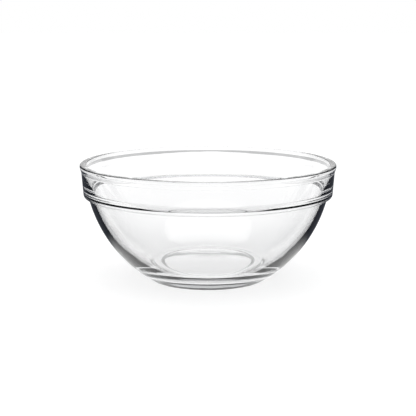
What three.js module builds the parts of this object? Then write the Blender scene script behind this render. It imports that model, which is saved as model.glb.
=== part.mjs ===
// A clear pressed-glass stacking bowl: one solid, turned about +Z from one profile.
// Millimetres. The origin is on the table, under the middle of the foot.

import * as THREE from "three";

// Overall sizes
const HEIGHT = 65; // table to the top of the rim
const RIM_RADIUS = 71; // outside of the lip

// Rim and band
const RIM_WALL = 3.9; // glass at the rim, from its inside to its outside
const RIM_OUTER_ROUND = 1.0;
const RIM_INNER_ROUND = 1.3;
const LIP_FACE = 2.0; // upright outside of the lip, from the top of the rim down
const LIP_HEIGHT = 4.2; // from the top of the rim down to where the band starts
const LIP_FLARE = 0.8; // how far the lip stands out from the band
const LIP_ROUND = 2.5; // radius of the two bends where the lip flares out of the band
const BAND_HEIGHT = 18; // from the top of the rim down to the stacking shoulder
const BAND_DRAFT = 1.1; // how far the band draws in from the lip down to its lower edge
const BAND_EDGE_ROUND = 1.6;
const INSIDE_DRAFT = 1.3; // how far the band's inside draws in from the rim down to the ledge

// Ledge inside the band
const LEDGE_DEPTH = 12.9; // from the top of the rim down to the start of the ledge
const LEDGE_DROP = 3.6; // height of the ledge's cove
const LEDGE_HOLLOW = 0.5; // how far the cove is hollowed behind a straight slope
const LEDGE_ROUND = 0.8;

// Body
const SHOULDER_STEP = 2.6; // how far the body stands in from the band's lower edge
const SHOULDER_ROUND = 0.9;
const BODY_BULGE = 5.8; // how far the body's outside swells beyond a straight cone
const WALL_TOP = 2.4; // glass of the body at the shoulder
const WALL_BASE = 4.7; // glass of the body where it meets the floor's round

// Base
const FOOT_RADIUS = 32.3; // where the body's outside would meet the table
const FOOT_ROUND = 4.1;
const FOOT_RING_WIDTH = 5.6; // from that edge in to the recess
const RECESS_DEPTH = 2.4;
const RECESS_SLOPE = 0.5; // how far the recess's side leans in
const RECESS_ROUND = 1.1;
const RECESS_CROWN = 0.8; // how much deeper the recess is in its middle than at its edge
const FLOOR_THICKNESS = 4.6; // glass between the recess's edge and the inside floor
const FLOOR_ROUND = 19; // radius of the round between the inside floor and the wall

// Facets
const SEGMENTS = 72; // around the axis
const BODY_STEPS = 14; // up each face of the body
const FLOOR_STEPS = 5; // round the edge of the inside floor
const COVE_STEPS = 4; // down the ledge's cove
const CROWN_STEPS = 3; // from the middle of the recess to its edge
const ROUND_STEPS = 3; // round a corner

const GLASS = new THREE.MeshStandardMaterial({
  color: 0xf4f7f6,
  roughness: 0.04,
  metalness: 0,
  transparent: true,
  opacity: 0.35,
});

// A point of the profile. A corner also has the radius that rounds it off.
function point(radius, height, round = 0) {
  return { at: new THREE.Vector2(radius, height), round };
}

// The circle through start and end whose arc stands off their chord by bulge, to its right.
function circleThrough(start, end, bulge) {
  const chord = end.at.clone().sub(start.at);
  const aside = new THREE.Vector2(chord.y, -chord.x).normalize();
  const halfAngle = 2 * Math.atan2(2 * bulge, chord.length());
  const radius = chord.length() / (2 * Math.sin(halfAngle));
  const centre = start.at.clone().lerp(end.at, 0.5);
  centre.addScaledVector(aside, -radius * Math.cos(halfAngle));
  return { centre, radius };
}

// A circle's angles run outwards from straight below its centre.
function angleOn(circle, at) {
  return Math.atan2(at.x - circle.centre.x, circle.centre.y - at.y);
}

function onCircle(circle, angle, inset = 0) {
  const reach = circle.radius - inset;
  return point(circle.centre.x + reach * Math.sin(angle), circle.centre.y - reach * Math.cos(angle));
}

// Points of the arc from start to end, both left out.
function arcBetween(start, end, bulge, steps) {
  const circle = circleThrough(start, end, bulge);
  const first = angleOn(circle, start.at);
  const last = angleOn(circle, end.at);
  const points = [];
  for (let i = 1; i < steps; i++) {
    points.push(onCircle(circle, THREE.MathUtils.lerp(first, last, i / steps)));
  }
  return points;
}

// A corner's arc, tangent to both of its sides and using at most half of the shorter one.
function roundedCorner(before, corner, after) {
  const back = before.at.clone().sub(corner.at);
  const on = after.at.clone().sub(corner.at);
  const longestCut = Math.min(back.length(), on.length()) / 2;
  back.normalize();
  on.normalize();
  const halfAngle = Math.acos(THREE.MathUtils.clamp(back.dot(on), -1, 1)) / 2;
  const cut = Math.min(corner.round / Math.tan(halfAngle), longestCut);
  const radius = cut * Math.tan(halfAngle);
  const middle = back.clone().add(on).normalize();
  const centre = corner.at.clone().addScaledVector(middle, radius / Math.sin(halfAngle));
  const start = corner.at.clone().addScaledVector(back, cut);
  const turn = Math.sign(on.cross(back)) * (Math.PI - 2 * halfAngle);
  const points = [];
  for (let i = 0; i <= ROUND_STEPS; i++) {
    points.push(start.clone().rotateAround(centre, (turn * i) / ROUND_STEPS));
  }
  return points;
}

// The profile with its corners rounded off, as plain points.
function roundedProfile(profile) {
  return profile.flatMap((p, i) =>
    p.round > 0 ? roundedCorner(profile[i - 1], p, profile[i + 1]) : [p.at],
  );
}

// Underside, from the axis out to the edge of the foot: a domed recess inside a flat ring
const recessRadius = FOOT_RADIUS - FOOT_RING_WIDTH;
const recessTop = point(0, RECESS_DEPTH + RECESS_CROWN);
const recessEdge = point(recessRadius - RECESS_SLOPE, RECESS_DEPTH, RECESS_ROUND);
const footEdge = point(FOOT_RADIUS, 0, FOOT_ROUND);
const domeRadius = (recessEdge.at.x ** 2 + RECESS_CROWN ** 2) / (2 * RECESS_CROWN);
const dome = [];
for (let i = 1; i < CROWN_STEPS; i++) {
  const out = (recessEdge.at.x * i) / CROWN_STEPS;
  dome.push(point(out, recessTop.at.y - domeRadius + Math.sqrt(domeRadius ** 2 - out ** 2)));
}

// Outside of the band, from the shoulder up to the rim
const shoulderHeight = HEIGHT - BAND_HEIGHT;
const bandTopRadius = RIM_RADIUS - LIP_FLARE;
const bandEdgeRadius = bandTopRadius - BAND_DRAFT;
const bodyTop = point(bandEdgeRadius - SHOULDER_STEP, shoulderHeight, SHOULDER_ROUND);
const bandOutside = [
  point(bandEdgeRadius, shoulderHeight, BAND_EDGE_ROUND),
  point(bandTopRadius, HEIGHT - LIP_HEIGHT, LIP_ROUND),
  point(RIM_RADIUS, HEIGHT - LIP_FACE, LIP_ROUND),
  point(RIM_RADIUS, HEIGHT, RIM_OUTER_ROUND),
];

// Outside of the body, an arc from the foot up to the shoulder
const bodyCircle = circleThrough(footEdge, bodyTop, BODY_BULGE);
const bodyOutside = arcBetween(footEdge, bodyTop, BODY_BULGE, BODY_STEPS);

// Inside floor, and the round that leads from it into the wall
const floorHeight = RECESS_DEPTH + FLOOR_THICKNESS;
const roundHeight = floorHeight + FLOOR_ROUND;
const roundReach = bodyCircle.radius - WALL_BASE - FLOOR_ROUND;
const roundAcross = Math.sqrt(roundReach ** 2 - (bodyCircle.centre.y - roundHeight) ** 2);
const floorCircle = {
  centre: new THREE.Vector2(bodyCircle.centre.x + roundAcross, roundHeight),
  radius: FLOOR_ROUND,
};
const wallStart = angleOn(bodyCircle, floorCircle.centre);
const floorRound = [];
for (let i = 0; i < FLOOR_STEPS; i++) {
  floorRound.push(onCircle(floorCircle, (wallStart * i) / FLOOR_STEPS));
}

// Inside of the body: the outside again, behind a wall that thins evenly from the floor's round up to the shoulder
const ledgeFootHeight = HEIGHT - LEDGE_DEPTH - LEDGE_DROP;
const shoulderAngle = angleOn(bodyCircle, bodyTop.at);
const wallEnd = Math.acos((bodyCircle.centre.y - ledgeFootHeight) / (bodyCircle.radius - WALL_TOP));
const wallInside = [];
for (let i = 0; i < BODY_STEPS; i++) {
  const angle = THREE.MathUtils.lerp(wallStart, wallEnd, i / BODY_STEPS);
  const share = Math.min((angle - wallStart) / (shoulderAngle - wallStart), 1);
  wallInside.push(onCircle(bodyCircle, angle, THREE.MathUtils.lerp(WALL_BASE, WALL_TOP, share)));
}

// Inside of the band, from the rim down to the cove of the ledge
const rimInsideRadius = RIM_RADIUS - RIM_WALL;
const ledgeTop = point(rimInsideRadius - INSIDE_DRAFT, HEIGHT - LEDGE_DEPTH);
const ledgeFoot = onCircle(bodyCircle, wallEnd, WALL_TOP);
ledgeFoot.round = LEDGE_ROUND;
const cove = arcBetween(ledgeFoot, ledgeTop, LEDGE_HOLLOW, COVE_STEPS).reverse();

const profile = roundedProfile([
  recessTop,
  ...dome,
  recessEdge,
  point(recessRadius, 0, RECESS_ROUND),
  footEdge,
  ...bodyOutside,
  bodyTop,
  ...bandOutside,
  point(rimInsideRadius, HEIGHT, RIM_INNER_ROUND),
  ledgeTop,
  ...cove,
  ledgeFoot,
  ...wallInside.reverse(),
  ...floorRound.reverse(),
  point(0, floorHeight),
]);

const geometry = new THREE.LatheGeometry(profile, SEGMENTS);
geometry.rotateX(Math.PI / 2); // the lathe turns about +Y, the bowl stands along +Z

const bowl = new THREE.Mesh(geometry, GLASS);
bowl.name = "bowl";

const object = new THREE.Group();
object.add(bowl);

export default object;
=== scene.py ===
"""Looks for the glass bowl: one smooth turned piece of clear pressed glass on a white studio floor."""

import math

import bpy
from mathutils import Matrix, Vector


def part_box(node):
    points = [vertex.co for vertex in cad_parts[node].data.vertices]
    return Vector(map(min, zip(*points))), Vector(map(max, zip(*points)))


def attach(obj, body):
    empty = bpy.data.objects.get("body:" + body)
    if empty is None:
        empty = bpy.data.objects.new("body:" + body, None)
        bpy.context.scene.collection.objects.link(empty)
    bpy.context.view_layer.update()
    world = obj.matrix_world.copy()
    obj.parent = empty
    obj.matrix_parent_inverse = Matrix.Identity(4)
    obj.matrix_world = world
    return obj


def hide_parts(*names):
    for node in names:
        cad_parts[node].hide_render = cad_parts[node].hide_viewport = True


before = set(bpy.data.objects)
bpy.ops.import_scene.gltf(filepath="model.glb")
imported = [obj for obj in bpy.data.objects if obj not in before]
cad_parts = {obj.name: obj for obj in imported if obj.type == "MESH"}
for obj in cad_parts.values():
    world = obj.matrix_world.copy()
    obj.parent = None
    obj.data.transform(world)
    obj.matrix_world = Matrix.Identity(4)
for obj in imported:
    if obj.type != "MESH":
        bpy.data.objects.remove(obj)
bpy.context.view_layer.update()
bowl_low, bowl_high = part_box("bowl")

# Overall sizes, in metres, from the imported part
HEIGHT = bowl_high[2] - bowl_low[2]
RIM_RADIUS = (bowl_high[0] - bowl_low[0]) / 2

# Rim and band
RIM_WALL = 0.0039
RIM_OUTER_ROUND = 0.0010
RIM_INNER_ROUND = 0.0013
LIP_FACE = 0.0020
LIP_HEIGHT = 0.0042
LIP_FLARE = 0.0008
LIP_ROUND = 0.0025
BAND_HEIGHT = 0.0180
BAND_DRAFT = 0.0011
BAND_EDGE_ROUND = 0.0016
INSIDE_DRAFT = 0.0007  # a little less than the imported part's

# Ledge inside the band
LEDGE_DEPTH = 0.0129
LEDGE_DROP = 0.0036
LEDGE_HOLLOW = 0.0001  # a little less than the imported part's
LEDGE_ROUND = 0.0008

# Body
SHOULDER_STEP = 0.0026
SHOULDER_ROUND = 0.0009
BODY_BULGE = 0.0058
WALL_TOP = 0.0024
WALL_BASE = 0.0047

# Base
FOOT_RADIUS = 0.0323
FOOT_ROUND = 0.0041
FOOT_RING_WIDTH = 0.0056
RECESS_DEPTH = 0.0024
RECESS_SLOPE = 0.0005
RECESS_ROUND = 0.0011
RECESS_CROWN = 0.0008
FLOOR_THICKNESS = 0.0046
FLOOR_ROUND = 0.0190

# Fineness of the mesh
SEGMENTS = 256
BODY_STEPS = 48
COVE_STEPS = 16
CROWN_STEPS = 12
ROUND_STEPS = 8

# Unevenness left by the mould: a few slow waves around the bowl, each (waves per turn, height, phase)
MOULD_WAVES = ((3, 12e-6, 0.4), (5, 8e-6, 1.9), (8, 5e-6, 3.1), (13, 3e-6, 5.2))

# Glass
GLASS_INDEX = 1.52
GLASS_TINT = (0.50, 0.60, 0.68, 1)  # what a long path through the glass is coloured towards
GLASS_DEPTH = 2.0  # how strongly, per metre
POLISH_SCALE = 60
POLISH_DETAIL = 3
POLISH_RANGE = (0.45, 0.75)  # the noise from fully polished to least polished
LEAST_POLISHED = 0.03  # roughness there
RIPPLE_SCALE = 90
RIPPLE_DETAIL = 1
RIPPLE_STRENGTH = 0.25
RIPPLE_HEIGHT = 0.0001

# Camera
CAMERA_BACK = 0.650
CAMERA_HEIGHT = 0.1577
CAMERA_PITCH = math.radians(10.332)
CAMERA_LENS = 102.2
SENSOR_WIDTH = 36.0

# Floor and lights
FLOOR_SIZE = 8.0
FLOOR_COLOUR = 0.50
FLOOR_GLOW = 0.62  # added where the floor is seen, so that it comes to white outside the shadow
AMBIENT = 0.60  # brightness that the world gives a white floor
LAMP_LEVEL = 0.40  # brightness that the lamp adds to it
MATT_DEPTH = 0.5  # a light path's diffuse depth is above this once it has met a matt surface
LAMP_SPREAD = math.radians(70)

# Painted reflections: dark gaps, white panels and sky that only the glass shows, painted into floor and
# world
TABLE_RADIUS = 1.50  # the floor is white all round out to here
TABLE_FADE = 0.22  # and turns into the painted panels and gaps over this width
PAINTED_PANELS = 4
PAINTED_PANEL_EDGE = (-0.1, 0.5)  # edge of a painted panel on a wave around the table, which is -1 mid gap and 1 mid panel
PAINTED_REFLECTION_FADE = (0.055, 0.095)  # radii between which the floor darkens into a painted dark reflection where the glass mirrors it
# level of that painted dark reflection
PAINTED_REFLECTION_LEVEL = 0.05
# colour of the painted dark that only the glass shows
PAINTED_DARK_COLOUR = (0.010, 0.014, 0.024, 1)
# Level of the painted backdrop that only the glass shows, by the height of the direction, from 0 at the
# horizon to 1 straight up:
# a faint strip along the horizon, then white, then painted darker upwards
PAINTED_SKY_LEVELS = (
    (0.0, 0.62),
    (0.035, 0.62),
    (0.06, 1.0),
    (0.18, 1.0),
    (0.32, 0.25),
    (0.55, 0.10),
    (0.70, 0.03),
    (1.0, 0.03),
)

# Light paths
BOUNCES = 12
REFLECTIONS = 5  # that one path may take, inside the glass or on it


def arc_circle(start, end, bulge):
    """Centre and radius of the arc from start to end that stands off their chord by bulge, to its right."""
    chord = end - start
    along = chord.normalized()
    aside = Vector((along.y, -along.x))
    half_angle = 2 * math.atan2(2 * bulge, chord.length)
    radius = chord.length / (2 * math.sin(half_angle))
    centre = (start + end) / 2 - aside * radius * math.cos(half_angle)
    return centre, radius


def on_circle(centre, radius, angle):
    """Point at an angle from straight below the centre, turning outwards."""
    return centre + radius * Vector((math.sin(angle), -math.cos(angle)))


def angle_of(centre, at):
    """Angle of a point about the centre, from straight below it."""
    return math.atan2(at.x - centre.x, centre.y - at.y)


def arc_between(start, end, bulge, steps):
    """Points from start to end on their arc, both left out."""
    centre, radius = arc_circle(start, end, bulge)
    first = angle_of(centre, start)
    last = angle_of(centre, end)
    return [on_circle(centre, radius, first + (last - first) * i / steps) for i in range(1, steps)]


def rounded_corner(before, corner, after, radius):
    """A corner's arc, tangent to both of its sides and using at most half of the shorter one."""
    back = before - corner
    on = after - corner
    longest_cut = min(back.length, on.length) / 2
    back.normalize()
    on.normalize()
    half_angle = back.angle(on) / 2
    cut = min(radius / math.tan(half_angle), longest_cut)
    radius = cut * math.tan(half_angle)
    centre = corner + (back + on).normalized() * radius / math.sin(half_angle)
    spoke = corner + back * cut - centre
    turn = math.copysign(math.pi - 2 * half_angle, on.x * back.y - on.y * back.x)
    return [centre + Matrix.Rotation(turn * i / ROUND_STEPS, 2) @ spoke for i in range(ROUND_STEPS + 1)]


def rounded_profile(corners):
    """The profile's points, with each corner that has a radius rounded off."""
    points = []
    for i, (at, radius) in enumerate(corners):
        if radius > 0:
            points += rounded_corner(corners[i - 1][0], at, corners[i + 1][0], radius)
        else:
            points.append(at)
    return points


def plain(points):
    """Points that take no rounding."""
    return [(at, 0) for at in points]


def recess_dome(edge):
    """The recess's domed top from the axis out to its edge, which is left out."""
    radius = (edge.x ** 2 + RECESS_CROWN ** 2) / (2 * RECESS_CROWN)
    centre_height = edge.y + RECESS_CROWN - radius
    outs = [edge.x * i / CROWN_STEPS for i in range(CROWN_STEPS)]
    return [Vector((out, centre_height + math.sqrt(radius ** 2 - out ** 2))) for out in outs]


def body_inside(foot, top, ledge_foot_height):
    """Inside of the body from the ledge's foot down to the floor, behind a wall that thins upwards."""
    centre, radius = arc_circle(foot, top, BODY_BULGE)
    round_height = RECESS_DEPTH + FLOOR_THICKNESS + FLOOR_ROUND
    reach = radius - WALL_BASE - FLOOR_ROUND
    round_centre = Vector((centre.x + math.sqrt(reach ** 2 - (centre.y - round_height) ** 2), round_height))
    start = angle_of(centre, round_centre)
    shoulder = angle_of(centre, top)
    end = math.acos((centre.y - ledge_foot_height) / (radius - WALL_TOP))
    points = [on_circle(round_centre, FLOOR_ROUND, start * i / BODY_STEPS) for i in range(BODY_STEPS)]
    for i in range(BODY_STEPS + 1):
        angle = start + (end - start) * i / BODY_STEPS
        share = min((angle - start) / (shoulder - start), 1)
        points.append(on_circle(centre, radius - WALL_BASE - (WALL_TOP - WALL_BASE) * share, angle))
    return points[::-1]


def bowl_profile():
    """The bowl's section from the middle of its underside round to the middle of its inside floor."""
    shoulder_height = HEIGHT - BAND_HEIGHT
    band_top = RIM_RADIUS - LIP_FLARE
    band_edge = band_top - BAND_DRAFT
    rim_inside = RIM_RADIUS - RIM_WALL
    recess_radius = FOOT_RADIUS - FOOT_RING_WIDTH
    recess_edge = Vector((recess_radius - RECESS_SLOPE, RECESS_DEPTH))
    foot = Vector((FOOT_RADIUS, 0))
    body_top = Vector((band_edge - SHOULDER_STEP, shoulder_height))
    ledge_top = Vector((rim_inside - INSIDE_DRAFT, HEIGHT - LEDGE_DEPTH))
    inside = body_inside(foot, body_top, HEIGHT - LEDGE_DEPTH - LEDGE_DROP)
    corners = [
        *plain(recess_dome(recess_edge)),
        (recess_edge, RECESS_ROUND),
        (Vector((recess_radius, 0)), RECESS_ROUND),
        (foot, FOOT_ROUND),
        *plain(arc_between(foot, body_top, BODY_BULGE, BODY_STEPS)),
        (body_top, SHOULDER_ROUND),
        (Vector((band_edge, shoulder_height)), BAND_EDGE_ROUND),
        (Vector((band_top, HEIGHT - LIP_HEIGHT)), LIP_ROUND),
        (Vector((RIM_RADIUS, HEIGHT - LIP_FACE)), LIP_ROUND),
        (Vector((RIM_RADIUS, HEIGHT)), RIM_OUTER_ROUND),
        (Vector((rim_inside, HEIGHT)), RIM_INNER_ROUND),
        (ledge_top, 0),
        *plain(arc_between(inside[0], ledge_top, LEDGE_HOLLOW, COVE_STEPS)[::-1]),
        (inside[0], LEDGE_ROUND),
        *plain(inside[1:]),
        (Vector((0, RECESS_DEPTH + FLOOR_THICKNESS)), 0),
    ]
    return rounded_profile(corners)


def mould_wave(angle):
    """How far the mould's unevenness draws the glass in at an angle around the bowl."""
    height = sum(size for _, size, _ in MOULD_WAVES)
    return sum(size * math.sin(count * angle + phase) for count, size, phase in MOULD_WAVES) - height


def turned_mesh(name, profile):
    """A closed mesh turned about +Z from a profile that starts and ends on the axis."""
    first, *rings, last = profile
    angles = [2 * math.pi * k / SEGMENTS for k in range(SEGMENTS)]
    verts = [(0, 0, first.y)]
    for at in rings:
        for angle in angles:
            radius = at.x + mould_wave(angle) * at.x / RIM_RADIUS
            verts.append((radius * math.cos(angle), radius * math.sin(angle), at.y))
    verts.append((0, 0, last.y))
    top = len(verts) - 1
    faces = []
    for k in range(SEGMENTS):
        after = (k + 1) % SEGMENTS
        faces.append((0, 1 + after, 1 + k))
        for ring in range(len(rings) - 1):
            base = 1 + ring * SEGMENTS
            faces.append((base + k, base + after, base + SEGMENTS + after, base + SEGMENTS + k))
        base = 1 + (len(rings) - 1) * SEGMENTS
        faces.append((base + k, base + after, top))
    mesh = bpy.data.meshes.new(name)
    mesh.from_pydata(verts, [], faces)
    mesh.shade_smooth()
    return mesh


def new_node(tree, kind, **values):
    """A new node with the given properties set."""
    node = tree.nodes.new(kind)
    for key, value in values.items():
        setattr(node, key, value)
    return node


def clear_glass():
    """Clear soda-lime glass, faintly tinted where it is thick, with a pressed surface's waviness."""
    material = bpy.data.materials.new("clear_glass")
    material.use_nodes = True
    tree = material.node_tree
    output = tree.nodes["Material Output"]
    glass = tree.nodes["Principled BSDF"]
    glass.inputs["Base Color"].default_value = (1, 1, 1, 1)
    glass.inputs["IOR"].default_value = GLASS_INDEX
    glass.inputs["Transmission Weight"].default_value = 1.0

    place = new_node(tree, "ShaderNodeTexCoord")
    smear = new_node(tree, "ShaderNodeTexNoise")
    smear.inputs["Scale"].default_value = POLISH_SCALE
    smear.inputs["Detail"].default_value = POLISH_DETAIL
    tree.links.new(place.outputs["Object"], smear.inputs["Vector"])
    polish = new_node(tree, "ShaderNodeMapRange")
    polish.inputs["From Min"].default_value = POLISH_RANGE[0]
    polish.inputs["From Max"].default_value = POLISH_RANGE[1]
    polish.inputs["To Min"].default_value = 0.0
    polish.inputs["To Max"].default_value = LEAST_POLISHED
    tree.links.new(smear.outputs["Fac"], polish.inputs["Value"])
    tree.links.new(polish.outputs["Result"], glass.inputs["Roughness"])

    ripple = new_node(tree, "ShaderNodeTexNoise")
    ripple.inputs["Scale"].default_value = RIPPLE_SCALE
    ripple.inputs["Detail"].default_value = RIPPLE_DETAIL
    tree.links.new(place.outputs["Object"], ripple.inputs["Vector"])
    bump = new_node(tree, "ShaderNodeBump")
    bump.inputs["Strength"].default_value = RIPPLE_STRENGTH
    bump.inputs["Distance"].default_value = RIPPLE_HEIGHT
    tree.links.new(ripple.outputs["Fac"], bump.inputs["Height"])
    tree.links.new(bump.outputs["Normal"], glass.inputs["Normal"])

    absorb = new_node(tree, "ShaderNodeVolumeAbsorption")
    absorb.inputs["Color"].default_value = GLASS_TINT
    absorb.inputs["Density"].default_value = GLASS_DEPTH
    tree.links.new(absorb.outputs["Volume"], output.inputs["Volume"])
    return material


def feed(tree, socket, value):
    """Give a socket its value, which is an output or a number."""
    if isinstance(value, (int, float)):
        socket.default_value = value
    else:
        tree.links.new(value, socket)


def math_node(tree, operation, *values):
    """Output of a math node on one or two values."""
    node = new_node(tree, "ShaderNodeMath", operation=operation)
    for socket, value in zip(node.inputs, values):
        feed(tree, socket, value)
    return node.outputs["Value"]


def smooth_step(tree, value, low, high):
    """Output that rises smoothly from 0 to 1 as a value goes from low to high."""
    node = new_node(tree, "ShaderNodeMapRange", interpolation_type="SMOOTHSTEP")
    node.inputs["From Min"].default_value = low
    node.inputs["From Max"].default_value = high
    tree.links.new(value, node.inputs["Value"])
    return node.outputs["Result"]


def choose(tree, factor, first, second):
    """Output that is the first value where the factor is 0 and the second where it is 1."""
    node = new_node(tree, "ShaderNodeMix", data_type="FLOAT")
    for key, value in (("Factor", factor), ("A", first), ("B", second)):
        feed(tree, node.inputs[key], value)
    return node.outputs["Result"]


def painted_panel_level(tree, place):
    """1 towards the painted white panels around the table, and 0 in the painted dark gaps between them."""
    bearing = math_node(tree, "ARCTAN2", place.outputs["X"], place.outputs["Y"])
    wave = math_node(tree, "COSINE", math_node(tree, "MULTIPLY", bearing, PAINTED_PANELS))
    return smooth_step(tree, wave, *PAINTED_PANEL_EDGE)


def white_or_painted_dark(tree, level, white):
    """Colour from the painted dark at level 0 to a white at level 1."""
    node = new_node(tree, "ShaderNodeMix", data_type="RGBA")
    tree.links.new(level, node.inputs["Factor"])
    node.inputs["A"].default_value = PAINTED_DARK_COLOUR
    node.inputs["B"].default_value = (white, white, white, 1)
    return node.outputs["Result"]


def white_floor():
    """Matt floor, white where it is seen, that keeps the bowl's soft shadow, and shows painted reflections
    in the glass.
    """
    material = bpy.data.materials.new("studio_floor")
    material.use_nodes = True
    tree = material.node_tree
    output = tree.nodes["Material Output"]
    tree.nodes.remove(tree.nodes["Principled BSDF"])
    path = new_node(tree, "ShaderNodeLightPath")

    # In the glass: white, with painted panels and gaps far off, and a painted dark reflection beside the
    # bowl where the glass mirrors it
    geometry = new_node(tree, "ShaderNodeNewGeometry")
    place = new_node(tree, "ShaderNodeSeparateXYZ")
    tree.links.new(geometry.outputs["Position"], place.inputs["Vector"])
    reach = new_node(tree, "ShaderNodeVectorMath", operation="LENGTH")
    tree.links.new(geometry.outputs["Position"], reach.inputs[0])
    far = smooth_step(tree, reach.outputs["Value"], TABLE_RADIUS, TABLE_RADIUS + TABLE_FADE)
    # painted white panels and dark gaps on the far floor, which only the glass shows
    through = choose(tree, far, 1.0, painted_panel_level(tree, place))
    # painted dark reflection of the floor beside the bowl
    aside = smooth_step(tree, reach.outputs["Value"], *PAINTED_REFLECTION_FADE)
    painted_reflection = choose(tree, aside, 1.0, PAINTED_REFLECTION_LEVEL)
    glassy = choose(tree, path.outputs["Is Reflection Ray"], through, painted_reflection)
    level = choose(tree, path.outputs["Is Glossy Ray"], 1.0, glassy)

    straight = math_node(tree, "MAXIMUM", path.outputs["Is Camera Ray"], path.outputs["Is Glossy Ray"])
    seen = math_node(tree, "MAXIMUM", straight, path.outputs["Is Transmission Ray"])
    matt = new_node(tree, "ShaderNodeBsdfDiffuse")
    tree.links.new(white_or_painted_dark(tree, level, FLOOR_COLOUR), matt.inputs["Color"])
    glow = new_node(tree, "ShaderNodeEmission")
    tree.links.new(white_or_painted_dark(tree, level, FLOOR_GLOW), glow.inputs["Color"])
    tree.links.new(seen, glow.inputs["Strength"])
    both = new_node(tree, "ShaderNodeAddShader")
    tree.links.new(matt.outputs["BSDF"], both.inputs[0])
    tree.links.new(glow.outputs["Emission"], both.inputs[1])
    tree.links.new(both.outputs["Shader"], output.inputs["Surface"])
    return material


def studio_world():
    """White backdrop and even light. Only in the glass does it have painted dark gaps and a painted
    darkening upwards.
    """
    world = bpy.data.worlds.new("studio")
    bpy.context.scene.world = world
    world.use_nodes = True
    world.cycles.sampling_method = "NONE"
    tree = world.node_tree
    background = tree.nodes["Background"]
    direction = new_node(tree, "ShaderNodeTexCoord")
    split = new_node(tree, "ShaderNodeSeparateXYZ")
    tree.links.new(direction.outputs["Generated"], split.inputs["Vector"])
    levels = new_node(tree, "ShaderNodeValToRGB")
    ramp = levels.color_ramp
    while len(ramp.elements) < len(PAINTED_SKY_LEVELS):
        ramp.elements.new(1.0)
    for element, (height, level) in zip(ramp.elements, PAINTED_SKY_LEVELS):
        element.position = height
        element.color = (level, level, level, 1)
    tree.links.new(split.outputs["Z"], levels.inputs["Fac"])
    path = new_node(tree, "ShaderNodeLightPath")
    # painted sky levels and panels, which only the glass shows
    glassy = math_node(tree, "MULTIPLY", levels.outputs["Color"], painted_panel_level(tree, split))
    lighting = math_node(tree, "GREATER_THAN", path.outputs["Diffuse Depth"], MATT_DEPTH)
    lit = choose(tree, lighting, glassy, AMBIENT)
    level = choose(tree, path.outputs["Is Camera Ray"], lit, 1.0)
    tree.links.new(white_or_painted_dark(tree, level, 1.0), background.inputs["Color"])


def add_object(name, data):
    """A new object in the scene."""
    thing = bpy.data.objects.new(name, data)
    bpy.context.scene.collection.objects.link(thing)
    return thing


def add_bowl():
    """The bowl itself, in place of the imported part's faceted solid."""
    mesh = turned_mesh("glass_bowl", bowl_profile())
    mesh.materials.append(clear_glass())
    bowl = add_object("glass_bowl", mesh)
    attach(bowl, "root")
    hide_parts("bowl")


def add_floor():
    """A wide plain floor under the bowl."""
    half = FLOOR_SIZE / 2
    mesh = bpy.data.meshes.new("floor")
    corners = [(-half, -half, 0), (half, -half, 0), (half, half, 0), (-half, half, 0)]
    mesh.from_pydata(corners, [], [(0, 1, 2, 3)])
    mesh.materials.append(white_floor())
    add_object("floor", mesh)


def add_lamp():
    """One broad soft lamp, straight overhead."""
    light = bpy.data.lights.new("soft_lamp", "SUN")
    light.angle = LAMP_SPREAD
    light.energy = LAMP_LEVEL * math.pi
    add_object("soft_lamp", light)


def add_camera():
    """The photograph's viewpoint, a little above the rim."""
    camera = bpy.data.cameras.new("camera")
    camera.sensor_width = SENSOR_WIDTH
    camera.lens = CAMERA_LENS
    viewer = add_object("camera", camera)
    viewer.location = (0, -CAMERA_BACK, CAMERA_HEIGHT)
    viewer.rotation_euler = (math.pi / 2 - CAMERA_PITCH, 0, 0)
    bpy.context.scene.camera = viewer


add_bowl()
add_floor()
add_lamp()
studio_world()
add_camera()

scene = bpy.context.scene
scene.view_settings.view_transform = "Standard"
scene.cycles.max_bounces = BOUNCES
scene.cycles.transmission_bounces = BOUNCES
scene.cycles.glossy_bounces = REFLECTIONS
